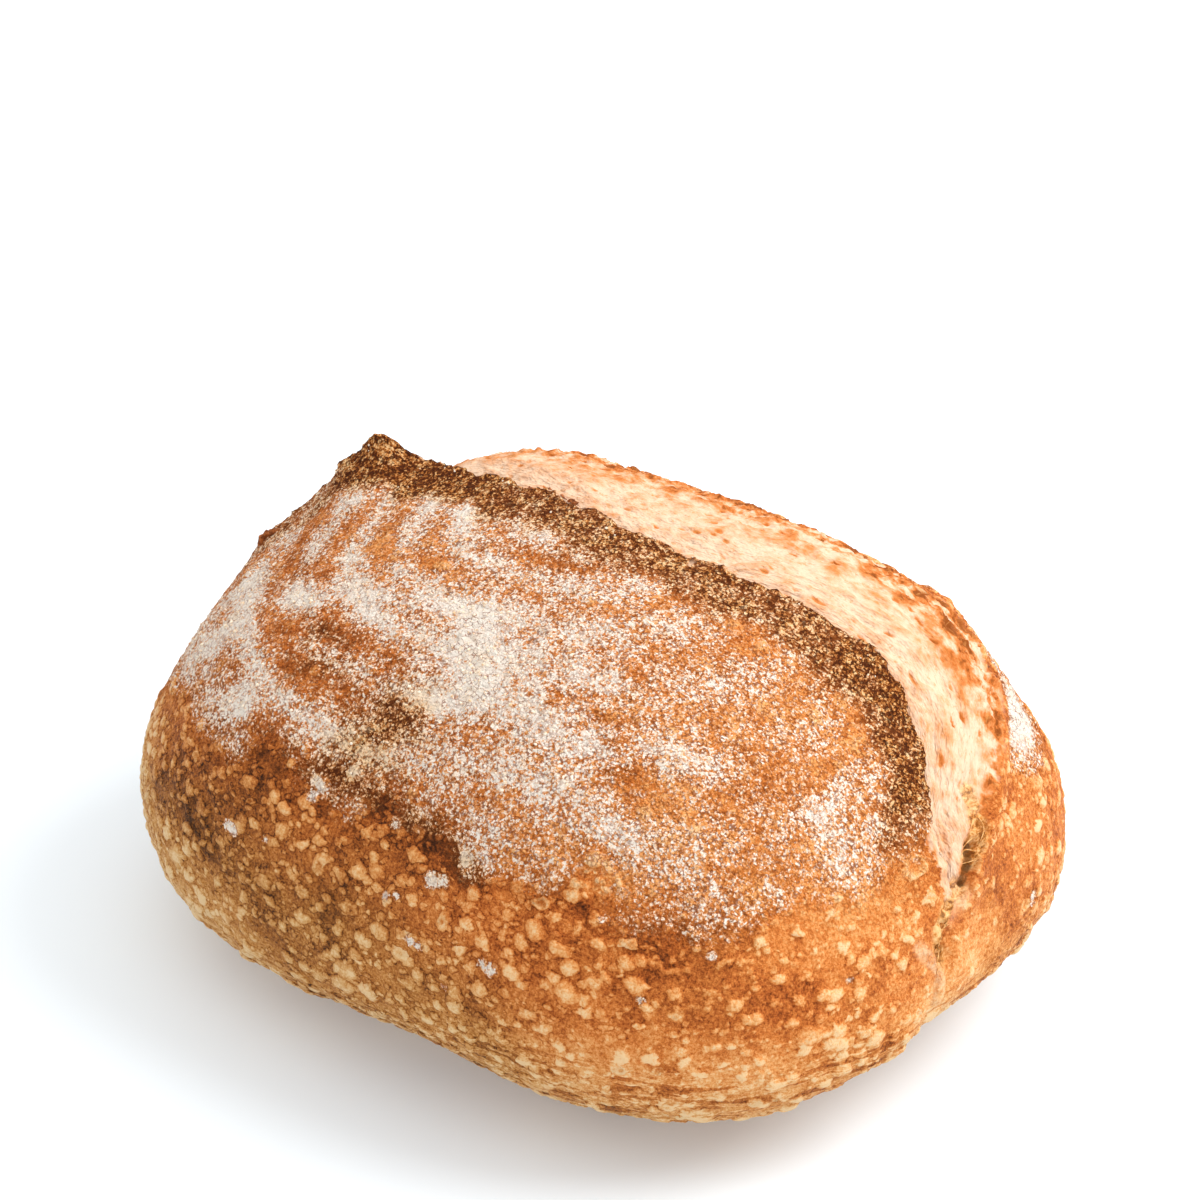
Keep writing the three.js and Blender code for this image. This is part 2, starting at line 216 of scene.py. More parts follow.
# Burnt places besides the ear's rim
CHAR_SPOTS = (
    ((-5, -68, 94), (9, 7, 8), 0.65), ((-12, -77, 87), (10, 8, 8), 0.7), ((-42, -57, 100), (8, 4, 6), 0.35),
    ((-38, -66, 95), (8, 4, 6), 0.35), ((55, -83, 73), (14, 5, 4), 0.22), ((-73, -83, 62), (8, 6, 9), 0.3),
    ((-60, -90, 54), (9, 6, 7), 0.35), ((-50, -93, 51), (5, 5, 5), 0.3),
)

# How deeply the crust is baked, over or under the even bake. The two lightening spots low on the left end, at
# (-80, -82, 24) and (-90, -70, 34), are painted light on the side that faces away from the key light.
BAKE_AND_LIGHT_SPOTS = (
    ((-40, -90, 60), (60, 40, 34), 0.12), ((-40, -60, 98), (26, 12, 12), 0.1),
    ((30, -90, 66), (40, 20, 14), 0.03), ((-80, -82, 24), (46, 36, 20), -0.2),
    ((-90, -70, 34), (50, 44, 28), -0.22), ((110, -30, 60), (26, 50, 40), -0.06),
    ((115, 30, 50), (26, 40, 40), 0.04), ((103, -60, 54), (10, 10, 8), 0.2),
    ((78, -76, 66), (14, 8, 8), 0.14), ((60, -88, 30), (70, 30, 18), -0.08),
    ((113, -12, 68), (5, 6, 9), 0.22),
)

# Where the right end is pale and nearly smooth
SMOOTH_SPOTS = (((118, 2, 43), (16, 20, 15), 0.75), ((116, -22, 34), (14, 14, 12), 0.5))

# Height on the loaf of the flour's lower edge, by the place along it
FLOUR_EDGE_X = (-119, -104, -90, -66, 0, 60, 88, 104, 119)
FLOUR_EDGE_Z = (54, 60, 70, 78, 79, 76, 72, 69, 68)

# The right end of the cut: a hole that tore open, the golden slit above it, and the seam and the pale fold
# below it. Then the burnt lower edge of the flap, and the ear's highest tip
CAVITY_LINE = ((113.3, -0.6, 60.0), (112.2, 3.4, 62.9), (110.4, 7.2, 66.2))
SLIT_LINE = ((112.0, 4.5, 63.5), (110.2, 11.2, 67.6), (106.8, 13.5, 71.8), (104.4, 14.1, 75.5))
SEAM_LINE = ((113.2, -2, 59.5), (116.1, -11, 58.1), (116.7, -14.9, 53.8), (117.9, -14.5, 47))
FOLD_LINE = ((116.3, -23, 54), (116.9, -20.8, 51), (117.9, -17.2, 46), (118, -15.4, 41), (118, -16.2, 36))
BURNT_LINE = ((-19, -82, 80), (-7, -83, 80), (4, -83.5, 79), (17, -85, 77), (31, -86, 74))
PEAK_SPOT = (((-76, 3, 119), (5, 4, 6), 1.0),)


def near_line(loaf, line, reach):
    """1 on a line through these points, fading to 0 over the reach."""
    away = np.full(len(loaf.p), 1e3)
    for start, end in zip(np.array(line[:-1]), np.array(line[1:])):
        along = end - start
        u = np.clip((loaf.p - start) @ along / (along @ along), 0, 1)
        away = np.minimum(away, np.linalg.norm(loaf.p - start - u[:, None] * along, axis=1))
    return np.exp(-(away / reach) ** 2)


def crust_masks(loaf):
    """What each place of the crust is like, from 0 to 1: the masks that the relief and the colours read."""
    x, y, z = loaf.p.T
    edge_back = 3 * smoothstep(loaf.angle, 12, 17) * smoothstep(loaf.angle, 30, 24)
    lip = loaf.to_lip + 1.5 * np.sin(x / 4.7) + 1.1 * np.sin(x / 2.1 + 2)
    opening = (loaf.past_rim > 0.5 - edge_back) & (lip > -4) & (loaf.share > 0.02)
    crumb = np.where(opening, smoothstep(lip, -3.5, 1.5), 0.0)
    crumb = np.where(loaf.under_ear, smoothstep(loaf.past_rim, -1.0, -5.0), crumb)
    crumb *= smoothstep(loaf.angle, 9, 16) * smoothstep(loaf.angle, 176, 160)
    top = ~opening & ~(loaf.under_ear & (loaf.past_rim < -2.5))
    gape = smoothstep(loaf.angle, 22, 34) * smoothstep(loaf.angle, 172, 140)
    band = 18 + 3 * smoothstep(loaf.angle, 90, 50) + 2 * np.sin(x / 5.1) + 1.5 * np.sin(x / 2.3 + 1)
    rim_band = smoothstep(loaf.past_rim, -band, -0.5 * band) * (loaf.past_rim < 2.5) * gape
    peak = smoothstep(loaf.angle, 98, 114) * smoothstep(loaf.angle, 134, 124)
    to_ends = 0.15 * smoothstep(loaf.angle, 62, 50) - 0.3 * smoothstep(loaf.angle, 126, 134)
    rim_char = rim_band * (0.72 + 0.3 * peak + to_ends)
    char = rim_char + spots(loaf, CHAR_SPOTS) + 0.45 * near_line(loaf, BURNT_LINE, 3.6)
    edge = np.interp(x, FLOUR_EDGE_X, FLOUR_EDGE_Z) + np.where(loaf.to_lip < 0, 12, 0)
    edge += 2.5 * np.sin(x / 7.3) + 2 * np.sin(x / 3.1 + 1)
    end_width = 6 + 24 * smoothstep(loaf.angle, 24, 42)
    dusted = smoothstep(z, edge - 10, edge + 8) * top
    dusted *= np.where(loaf.to_lip < 0, smoothstep(lip, -3, -9), 1.0)
    behind = spots(loaf, FLOUR_BEHIND) * top * smoothstep(lip, -3, -12)
    rings = np.cos(2 * np.pi * (loaf.ring + 2.5 * np.sin(x / 17)) / FLOUR_RING)
    rings *= 0.1 + 0.1 * smoothstep(x, 10, -40)
    thickness = 0.54 + rings - 0.15 * smoothstep(x, 20, 80) + spots(loaf, FLOUR_SPOTS)
    flour = dusted * np.clip(thickness, 0.24, 1.25)
    flour = np.where(rim_band > 0, flour + (0.42 - flour) * 0.85 * rim_band, flour)
    clumps = [(place, (reach, reach, reach), 1.0) for place, reach in FLOUR_CLUMPS]
    flour = np.maximum(flour, behind) + spots(loaf, clumps)
    smooth_end = spots(loaf, SMOOTH_SPOTS)
    # The bake level includes painted light from the two lightening spots low on the left end.
    bake_and_light = 0.42 + spots(loaf, BAKE_AND_LIGHT_SPOTS) - 0.1 * smooth_end - 0.08 * smoothstep(x, -60, 110)
    tan_top = 86 - 36 * smoothstep(x, 0, 90)
    wrinkle_top = 34 + 12 * smoothstep(x, -20, 60)
    golden = 0.9 * smoothstep(z, tan_top, tan_top - 45) + 0.2 * smoothstep(x, 40, -60)
    seam = near_line(loaf, SLIT_LINE, 2.4) + near_line(loaf, SEAM_LINE, 2.6)
    blistered = (1 - crumb) * smoothstep(z, 3, 16) * (1 - 0.7 * dusted) * (1 - 0.9 * rim_band)
    blistered *= (1 - 0.2 * smoothstep(x, 50, 105)) * np.clip(1 - smooth_end - 1.3 * seam, 0, 1)
    at_rim = smoothstep(loaf.past_rim, -4, -0.5) * smoothstep(loaf.past_rim, 3, 1)
    at_lip = smoothstep(loaf.to_lip, end_width, 1) * smoothstep(loaf.to_lip, -4, -1)
    return {
        "crumb": crumb,
        "char": np.clip(char, 0, 1),
        "flour": np.clip(flour, 0, 1.2),
        "granular": np.clip(np.maximum(dusted, rim_band) + behind * 2, 0, 1),
        "bake_and_light": np.clip(bake_and_light, 0, 1),
        "golden": golden * (1 - 0.8 * dusted),
        # How strongly shade is painted into the crevices round the blisters, less towards the right end
        "groove_shade_strength": 0.22 - 0.14 * smoothstep(x, 20, 90),
        "blistered": blistered,
        "ragged": at_rim * smoothstep(loaf.lift, 0.5, 2.5),
        "far": at_lip * smoothstep(loaf.angle, 12, 18),
        "peak": spots(loaf, PEAK_SPOT),
        "cavity": near_line(loaf, CAVITY_LINE, 1.5),
        "seam": np.clip(seam, 0, 1),
        "fold": near_line(loaf, FOLD_LINE, 2.0),
        "wrinkled": smoothstep(z, wrinkle_top, wrinkle_top - 16) * smoothstep(z, 0.5, 4),
        "underside": smoothstep(z, 2.2, 0.6),
    }


# Modelling by hand


def only(piece):
    """Makes one object the only one selected, and the active one."""
    bpy.ops.object.select_all(action="DESELECT")
    piece.select_set(True)
    bpy.context.view_layer.objects.active = piece


def finish_with(piece, kind, **settings):
    """Adds a modifier with these settings and applies it."""
    only(piece)
    modifier = piece.modifiers.new(kind.lower(), kind)
    for name, value in settings.items():
        setattr(modifier, name, value)
    bpy.ops.object.modifier_apply(modifier=modifier.name)


def rename(piece, name):
    piece.name = name
    piece.data.name = name


def vertex_numbers(mesh, name):
    """Three numbers for each vertex of a mesh: its co or its normal."""
    numbers = np.empty(len(mesh.vertices) * 3, np.float32)
    mesh.vertices.foreach_get(name, numbers)
    return numbers.reshape(-1, 3).astype(float)


def keep_numbers(mesh, name, numbers):
    """Keeps a number or a vector for each vertex as an attribute, which patterns read."""
    kind, field = ("FLOAT_VECTOR", "vector") if numbers.ndim == 2 else ("FLOAT", "value")
    attribute = mesh.attributes.get(name) or mesh.attributes.new(name, kind, "POINT")
    attribute.data.foreach_set(field, numbers.astype(np.float32).ravel())


def read_numbers(mesh, name):
    attribute = mesh.attributes[name]
    width, field = (3, "vector") if attribute.data_type == "FLOAT_VECTOR" else (1, "value")
    numbers = np.empty(len(attribute.data) * width, np.float32)
    attribute.data.foreach_get(field, numbers)
    return numbers.reshape(-1, 3).astype(float) if width == 3 else numbers.astype(float)


# Node trees written as formulas


class Value:
    """A value in a node tree that can be used in a formula."""

    def __init__(self, tree, socket):
        self.tree, self.socket = tree, socket

    def math(self, operation, *others, clamp=False):
        node = add(self.tree, "ShaderNodeMath", operation=operation, use_clamp=clamp)
        for slot, value in zip(node.inputs, (self, *others)):
            feed(self.tree, slot, value)
        return Value(self.tree, node.outputs[0])

    def vector(self, operation, other=None, scale=None):
        node = add(self.tree, "ShaderNodeVectorMath", operation=operation)
        feed(self.tree, node.inputs[0], self)
        if other is not None:
            feed(self.tree, node.inputs[1], other)
        if scale is not None:
            feed(self.tree, node.inputs["Scale"], scale)
        return Value(self.tree, node.outputs["Vector"])

    def __add__(self, other):
        return self.math("ADD", other)

    def __sub__(self, other):
        return self.math("SUBTRACT", other)

    def __rsub__(self, other):
        return self.math("MULTIPLY_ADD", -1.0, other)

    def __mul__(self, other):
        return self.math("MULTIPLY", other)

    def __truediv__(self, other):
        return self.math("DIVIDE", other)

    def __pow__(self, other):
        return self.math("POWER", other)

    def __lt__(self, other):
        return self.math("LESS_THAN", other)

    def __gt__(self, other):
        return self.math("GREATER_THAN", other)

    def clamp(self):
        return self.math("ADD", 0.0, clamp=True)

    def larger(self, other):
        return self.math("MAXIMUM", other)

    def smooth(self, low, high):
        """0 at low and 1 at high, with a soft start and end."""
        node = add(self.tree, "ShaderNodeMapRange", interpolation_type="SMOOTHSTEP")
        for name, value in (("Value", self), ("From Min", low), ("From Max", high)):
            feed(self.tree, node.inputs[name], value)
        return Value(self.tree, node.outputs[0])

    def parts(self):
        """The three parts of a vector or colour."""
        node = add(self.tree, "ShaderNodeSeparateXYZ", {"Vector": self})
        return [Value(self.tree, output) for output in node.outputs]

    __radd__ = __add__
    __rmul__ = __mul__


def feed(tree, slot, value):
    """Links a value to an input, or sets it there."""
    if isinstance(value, Value):
        tree.links.new(value.socket, slot)
    else:
        slot.default_value = value


def add(tree, kind, inputs=None, **settings):
    """Adds a node with its settings and inputs."""
    node = tree.nodes.new(kind)
    for name, value in settings.items():
        setattr(node, name, value)
    for name, value in (inputs or {}).items():
        feed(tree, node.inputs[name], value)
    return node


def read(tree, name, vector=False):
    """An attribute of the mesh, in a shader or in geometry nodes."""
    if tree.bl_idname == "GeometryNodeTree":
        kind = "FLOAT_VECTOR" if vector else "FLOAT"
        node = add(tree, "GeometryNodeInputNamedAttribute", data_type=kind)
        node.inputs["Name"].default_value = name
        return Value(tree, node.outputs["Attribute"])
    node = add(tree, "ShaderNodeAttribute", attribute_name=name)
    return Value(tree, node.outputs["Vector" if vector else "Fac"])


def stretch(place, x, y, z):
    """A place with its parts multiplied, which stretches the pattern that reads it."""
    return place.vector("MULTIPLY", (x, y, z))


def noise(place, size, detail=2.0, roughness=0.5):
    """Cloudy noise from 0 to 1 with lumps of this size in millimetres."""
    inputs = {"Vector": place, "Scale": 1 / (size * MM), "Detail": detail, "Roughness": roughness}
    return Value(place.tree, add(place.tree, "ShaderNodeTexNoise", inputs).outputs[0])


def noise_vector(place, size):
    """Three noises in one vector, each about 0."""
    node = add(place.tree, "ShaderNodeTexNoise", {"Vector": place, "Scale": 1 / (size * MM), "Detail": 1.0})
    return Value(place.tree, node.outputs[1]).vector("SUBTRACT", (0.5, 0.5, 0.5))


def cells(place, size, feature="F1"):
    """Cells of this size in millimetres: distance from the middle or edge, and each cell's random numbers."""
    inputs = {"Vector": place, "Scale": 1 / (size * MM)}
    node = add(place.tree, "ShaderNodeTexVoronoi", inputs, feature=feature)
    distance = Value(place.tree, node.outputs["Distance"])
    if feature == "DISTANCE_TO_EDGE":
        return distance
    return distance, Value(place.tree, node.outputs["Color"]).parts()


def mix(low, high, factor):
    """Between two values."""
    return low + (high - low) * factor


def mix_colours(factor, low, high):
    node = add(factor.tree, "ShaderNodeMix", data_type="RGBA")
    for slot, value in zip((0, 6, 7), (factor, low, high)):
        feed(factor.tree, node.inputs[slot], value)
    return Value(factor.tree, node.outputs[2])


def ramp(value, stops):
    """A colour that follows a value through stops of (position, colour)."""
    node = add(value.tree, "ShaderNodeValToRGB", {"Fac": value})
    elements = node.color_ramp.elements
    for _ in stops[2:]:
        elements.new(1.0)
    for element, (position, colour) in zip(elements, stops):
        element.position = position
        element.color = colour
    return Value(value.tree, node.outputs["Color"])


def srgb(red, green, blue):
    """A colour by its 0 to 255 screen values."""
    def linear(part):
        part /= 255
        return part / 12.92 if part <= 0.04045 else ((part + 0.055) / 1.055) ** 2.4

    return linear(red), linear(green), linear(blue), 1.0


class Group:
    """A node group with named inputs and outputs, for a shader or for geometry nodes."""

    def __init__(self, name, kind, inputs, outputs):
        self.tree = bpy.data.node_groups.new(name, kind)
        for way, names in (("INPUT", inputs), ("OUTPUT", outputs)):
            for label, socket in names.items():
                self.tree.interface.new_socket(name=label, in_out=way, socket_type="NodeSocket" + socket)
        self.start = self.tree.nodes.new("NodeGroupInput")
        self.end = self.tree.nodes.new("NodeGroupOutput")

    def __getitem__(self, name):
        return Value(self.tree, self.start.outputs[name])

    def __setitem__(self, name, value):
        feed(self.tree, self.end.inputs[name], value)

    def use(self, tree, **inputs):
        """Places the group in a tree and returns its outputs by name."""
        kind = "GeometryNodeGroup" if tree.bl_idname == "GeometryNodeTree" else "ShaderNodeGroup"
        node = tree.nodes.new(kind)
        node.node_tree = self.tree
        for name, value in inputs.items():
            feed(tree, node.inputs[name], value)
        return {output.name: Value(tree, output) for output in node.outputs}


# Patterns that the relief and the colours share


# Blisters, the largest first: size of their cells in millimetres, radius of the smallest and spread of the
# radii in cells, share of the cells that hold one, and height in millimetres
BLISTERS = ((7.8, 0.24, 0.28, 0.36, 1.2), (4.2, 0.32, 0.30, 0.72, 0.85), (2.2, 0.40, 0.26, 0.7, 0.45))


def blister_pattern(kind):
    """Blisters of three sizes, packed close, some of them burst. Height in millimetres, how near the top of a
    blister a place is, how deep it lies in a burst one, and a random shade for each blister."""
    group = Group("blister_pattern", kind, {"Rest": "Vector", "Amount": "Float"},
                  {"Height": "Float", "Crest": "Float", "Burst": "Float", "Shade": "Float"})
    place = stretch(group["Rest"], 0.86, 0.94, 1.1)
    place = place.vector("ADD", noise_vector(place, 4.5).vector("SCALE", scale=3.0 * MM))
    place = place.vector("ADD", noise_vector(place, 1.8).vector("SCALE", scale=1.3 * MM))
    height, crest, burst, shade = None, None, None, None
    for size, least, spread, used, tallness in BLISTERS:
        away, (first, second, third) = cells(place, size)
        reach = away / (first * spread + least)
        there = second < group["Amount"] * used
        dome = (1 - reach * reach).clamp() ** 0.65 * there * (third * 0.4 + 0.7)
        hollow = (third > 0.9) * reach.smooth(0.66, 0.3) * there
        if height is None:
            height, crest, burst, shade = dome * tallness, dome, hollow, second
        elif size > 3:
            burst = burst.larger(hollow * (dome * tallness > height))
            shade = mix(shade, second, dome * tallness > height)
            height, crest = height.larger(dome * tallness), crest.larger(dome)
        else:
            height, crest = height.larger(dome * tallness), crest.larger(dome * 0.75)
    group["Height"] = height - burst * 1.1
    group["Crest"] = crest
    group["Burst"] = burst
    group["Shade"] = shade
    return group


def crumb_pattern(kind):
    """Torn dough: strands that run along the cut, pores and a few large holes. Height in millimetres."""
    group = Group("crumb_pattern", kind, {"Rest": "Vector", "Cut_way": "Vector"},
                  {"Height": "Float", "Strands": "Float", "Pores": "Float", "Folds": "Float"})
    way = group["Cut_way"]
    bent = way.vector("ADD", noise_vector(group["Rest"], 9).vector("SCALE", scale=6 * MM))
    strands = noise(stretch(bent, 0.6, 1.0, 1.0), 2.4, 4.0, 0.7)
    folds = noise(stretch(bent, 0.5, 1.0, 1.0), 8.0, 3.0, 0.55)
    pore_away, (pore_size, pore_there, _) = cells(stretch(bent, 0.6, 1.0, 1.0), 2.4)
    pores = pore_away.smooth(0.4, 0.14) * (pore_there > 0.45) * pore_size
    hole_away, (hole_size, hole_there, _) = cells(stretch(bent, 0.55, 1.0, 1.0), 7.5)
    holes = (hole_away / (hole_size * 0.16 + 0.08)).smooth(1.0, 0.5) * (hole_there > 0.76)
    group["Height"] = (strands - 0.5) * 1.5 + (folds - 0.5) * 4.2 - pores * 0.8 - holes * 1.4
    group["Strands"] = strands
    group["Pores"] = pores.larger(holes)
    group["Folds"] = folds
    return group


def relief_tree():
    """Geometry nodes that raise the crust's relief along its normals and tear the ear's rim."""
    group = Group("crust_relief", "GeometryNodeTree", {"Geometry": "Geometry"}, {"Geometry": "Geometry"})
    tree = group.tree
    rest = read(tree, "rest", vector=True)
    crumb, flour, char = read(tree, "crumb"), read(tree, "flour"), read(tree, "char")
    blisters = blister_pattern("GeometryNodeTree").use(tree, Rest=rest, Amount=read(tree, "blistered"))
    cut_way = read(tree, "cut_way", vector=True)
    dough = crumb_pattern("GeometryNodeTree").use(tree, Rest=rest, Cut_way=cut_way)
    lumps = (noise(rest, 13) - 0.5) * 1.2 + (noise(rest, 3.6, 3.0, 0.65) - 0.5) * 0.8
    wrinkles = (noise(stretch(rest, 0.13, 0.13, 1.0), 2.6, 2.0, 0.6) - 0.5) * 1.1 * read(tree, "wrinkled")
    granules = (noise(rest, 1.8, 1.0) - 0.5) * 0.7 * flour.larger(char).clamp()
    flakes = (noise(rest, 3.0, 2.0) - 0.42).larger(0.0) * 4.5 * read(tree, "far")
    crust = blisters["Height"] * read(tree, "blistered").smooth(0.0, 0.5) + lumps + wrinkles + granules
    torn_seam = read(tree, "seam") * noise(rest, 2.4, 3.0, 0.6).smooth(0.4, 0.6)
    cavity = read(tree, "cavity") * 2.4 + torn_seam * 1.3
    fold = read(tree, "fold") * noise(rest, 5.0, 2.0).smooth(0.3, 0.6) * 0.6
    height = mix(crust, dough["Height"], crumb) + flakes + fold - cavity - SKIN_INSET
    height = height * (1 - read(tree, "underside"))
    normal = Value(tree, tree.nodes.new("GeometryNodeInputNormal").outputs[0])
    ragged, peak = read(tree, "ragged"), read(tree, "peak")
    tear = noise_vector(rest, 3.4).vector("SCALE", scale=ragged * 2.0 * MM)
    tear = tear.vector("ADD", noise_vector(rest, 1.5).vector("SCALE", scale=ragged * 0.9 * MM))
    drawn_up = add(tree, "ShaderNodeCombineXYZ", {"X": peak * -0.8 * MM, "Z": peak * 3.2 * MM})
    tear = tear.vector("ADD", Value(tree, drawn_up.outputs[0]))
    offset = normal.vector("SCALE", scale=height * MM).vector("ADD", tear)
    moved = add(tree, "GeometryNodeSetPosition", {"Geometry": group["Geometry"], "Offset": offset})
    group["Geometry"] = Value(tree, moved.outputs[0])
    return tree


# The loaf's body


def fine_copy_of_solid():
    """A copy of the solid with its facets rounded and its faces made fine and even."""
    only(frame["nodes"]["loaf"])
    bpy.ops.object.duplicate()
    body = bpy.context.active_object
    body.name = "whole_loaf"
    body.parent = None
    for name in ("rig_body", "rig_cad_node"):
        del body[name]
    bpy.ops.object.mode_set(mode="EDIT")
    bpy.ops.mesh.select_all(action="SELECT")
    bpy.ops.mesh.remove_doubles(threshold=0.001 * MM)
    bpy.ops.mesh.tris_convert_to_quads(face_threshold=math.pi, shape_threshold=math.pi)
    bpy.ops.mesh.select_all(action="DESELECT")
    bpy.ops.mesh.edges_select_sharp(sharpness=SHARP_EDGE)
    bpy.ops.transform.edge_crease(value=CREASE)
    bpy.ops.object.mode_set(mode="OBJECT")
    finish_with(body, "SUBSURF", levels=2, render_levels=2)
    finish_with(body, "REMESH", mode="VOXEL", voxel_size=VOXEL * MM)
    finish_with(body, "SMOOTH", factor=0.5, iterations=3)
    return body


def measure_crust(body):
    """Keeps on each vertex where it lies on the loaf and what the crust is like there."""
    mesh = body.data
    points = vertex_numbers(mesh, "co")
    loaf = Loaf(points, vertex_numbers(mesh, "normal"))
    keep_numbers(mesh, "rest", points)
    keep_numbers(mesh, "cut_way", np.stack([loaf.along, loaf.across, loaf.over], axis=1) * MM)
    for name, numbers in crust_masks(loaf).items():
        keep_numbers(mesh, name, numbers)
    return loaf


def raise_relief(body):
    """Raises the relief and keeps it inside the solid's box."""
    finish_with(body, "NODES", node_group=relief_tree())
    points = vertex_numbers(body.data, "co")
    low, high = (np.array(corner) for corner in CAD_BOX)
    points = np.clip(points, low, high)
    body.data.vertices.foreach_set("co", points.astype(np.float32).ravel())
    body.data.update()
    keep_numbers(body.data, "whole_normal", vertex_numbers(body.data, "normal"))


# The pieces that the body is parted into, so that each stays light
PARTS = ("front_crust", "back_crust", "floured_flap", "swollen_dough", "underside")
BORDER_PASSES = 40
HEART = (0, 0, 45 * MM)  # a point deep in the loaf, from which every border of the pieces is in plain sight


def regions(loaf):
    """The part of the loaf that each vertex belongs to, by number."""
    x, y, z = loaf.p.T
    opened = (loaf.angle > 2) & (loaf.angle < 158)
    rim_edge = (loaf.past_rim < 2.5) & (loaf.lift > 2) & (loaf.over > 0.5 * loaf.lift - 1.5)
    inside = (loaf.past_rim > 0.5) & (loaf.to_lip > -6) | loaf.under_ear & (loaf.facing > 0.45)
    inside &= opened & ~rim_edge
    region = np.where(y + 0.12 * x > 16, PARTS.index("back_crust"), PARTS.index("front_crust"))
    region = np.where((z > 64) & (loaf.to_lip > -6), PARTS.index("floured_flap"), region)
    region = np.where(inside, PARTS.index("swollen_dough"), region)
    return np.where(z < 7, PARTS.index("underside"), region)


def without_islands(mesh, region):
    """The parts with their borders evened, so that none has loose islands."""
    ends = np.empty(len(mesh.edges) * 2, np.int32)
    mesh.edges.foreach_get("vertices", ends)
    first, second = ends.reshape(-1, 2).T
    count = len(mesh.vertices)
    links = np.bincount(first, minlength=count) + np.bincount(second, minlength=count)
    belongs = [(region == number).astype(float) for number in range(len(PARTS))]
    for _ in range(BORDER_PASSES):
        for number, share in enumerate(belongs):
            near = np.bincount(first, share[second], count) + np.bincount(second, share[first], count)
            belongs[number] = 0.5 * share + 0.5 * near / links
    return np.argmax(belongs, axis=0)


def part_body(body, region):
    """Parts the body into its pieces."""
    mesh = body.data
    corners = np.empty(len(mesh.polygons) * 4, np.int32)
    mesh.polygons.foreach_get("vertices", corners)
    of_face = region[corners.reshape(-1, 4)].max(axis=1)
    for _ in PARTS:
        mesh.materials.append(None)
    mesh.polygons.foreach_set("material_index", of_face.astype(np.int32))
    mesh.attributes.new("part", "INT", "FACE").data.foreach_set("value", of_face.astype(np.int32))
    mesh.update()
    only(body)
    bpy.ops.object.mode_set(mode="EDIT")
    bpy.ops.mesh.select_all(action="SELECT")
    bpy.ops.mesh.separate(type="MATERIAL")
    bpy.ops.object.mode_set(mode="OBJECT")
    pieces = {}
    for piece in list(bpy.context.selected_objects):
        part = PARTS[piece.data.attributes["part"].data[0].value]
        rename(piece, part)
        pieces[part] = piece
    return pieces


def close_behind(piece):
    """Closes a piece's open edge to the cursor's place, and gives its skin the whole loaf's normals."""
    only(piece)
    bpy.ops.object.mode_set(mode="EDIT")
    bpy.ops.mesh.select_mode(type="EDGE")
    bpy.ops.mesh.select_all(action="DESELECT")
    bpy.ops.mesh.select_non_manifold(
        extend=False, use_wire=False, use_multi_face=False, use_non_contiguous=False, use_verts=False,
    )
    bpy.ops.mesh.extrude_edges_move()
    bpy.ops.mesh.merge(type="CURSOR")
    bpy.ops.object.mode_set(mode="OBJECT")
    mesh = piece.data
    mesh.polygons.foreach_set("use_smooth", [True] * len(mesh.polygons))
    mesh.normals_split_custom_set_from_vertices(read_numbers(mesh, "whole_normal"))
    mesh.materials.clear()
    mesh.update()


# Colours


def new_material(name):
    """A material, its node tree and the inputs of its shader."""
    material = bpy.data.materials.new(name)
    material.use_nodes = True
    return material, material.node_tree, material.node_tree.nodes["Principled BSDF"].inputs


